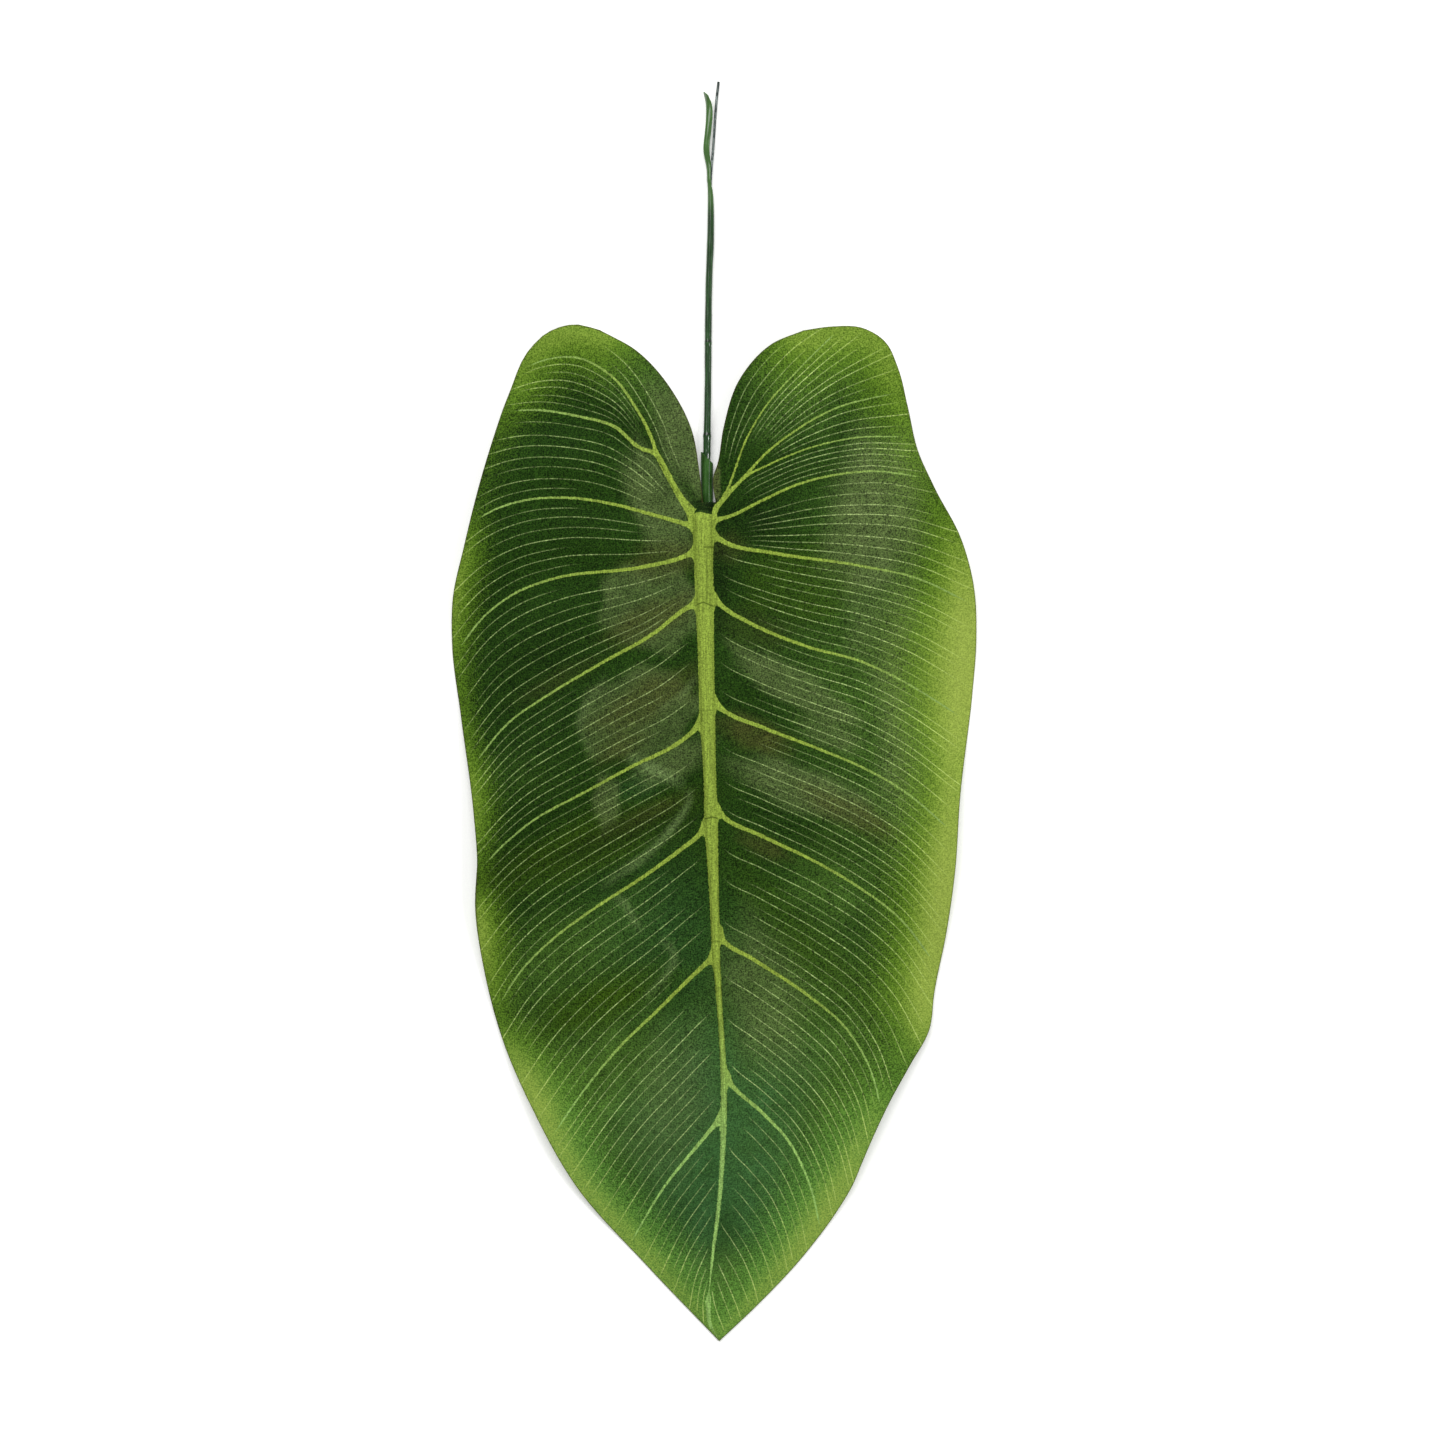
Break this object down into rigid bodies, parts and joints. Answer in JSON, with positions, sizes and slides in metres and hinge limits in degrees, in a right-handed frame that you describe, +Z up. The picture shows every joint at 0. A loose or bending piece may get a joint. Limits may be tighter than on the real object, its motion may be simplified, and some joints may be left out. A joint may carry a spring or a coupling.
{
  "type": "artificial leaf",
  "caption": "Long heart-shaped artificial leaf of printed cloth with a raised midrib, on a plastic-coated wire stem with a bared end, for arrangements.",
  "frame": {"origin": "middle of the whole leaf's box in plan, on the surface that it rests on", "axes": "+Y along the leaf from its tip towards the stem's bare end, +Z up out of the printed face, +X to the right seen from above with the stem pointing away"},
  "size_m": [0.1798, 0.4318, 0.0107],
  "materials": {
    "cloth": "satin woven polyester, printed",
    "rib_plastic": "semi-translucent moulded polyethylene",
    "stem_coat": "smooth extruded polyethylene",
    "wire": "dull drawn wire"
  },
  "bodies": {
    "root": {"blade": "cloth", "back_rib": "rib_plastic", "stem_coat": "stem_coat", "core_wire": "wire"}
  },
  "joints": []
}
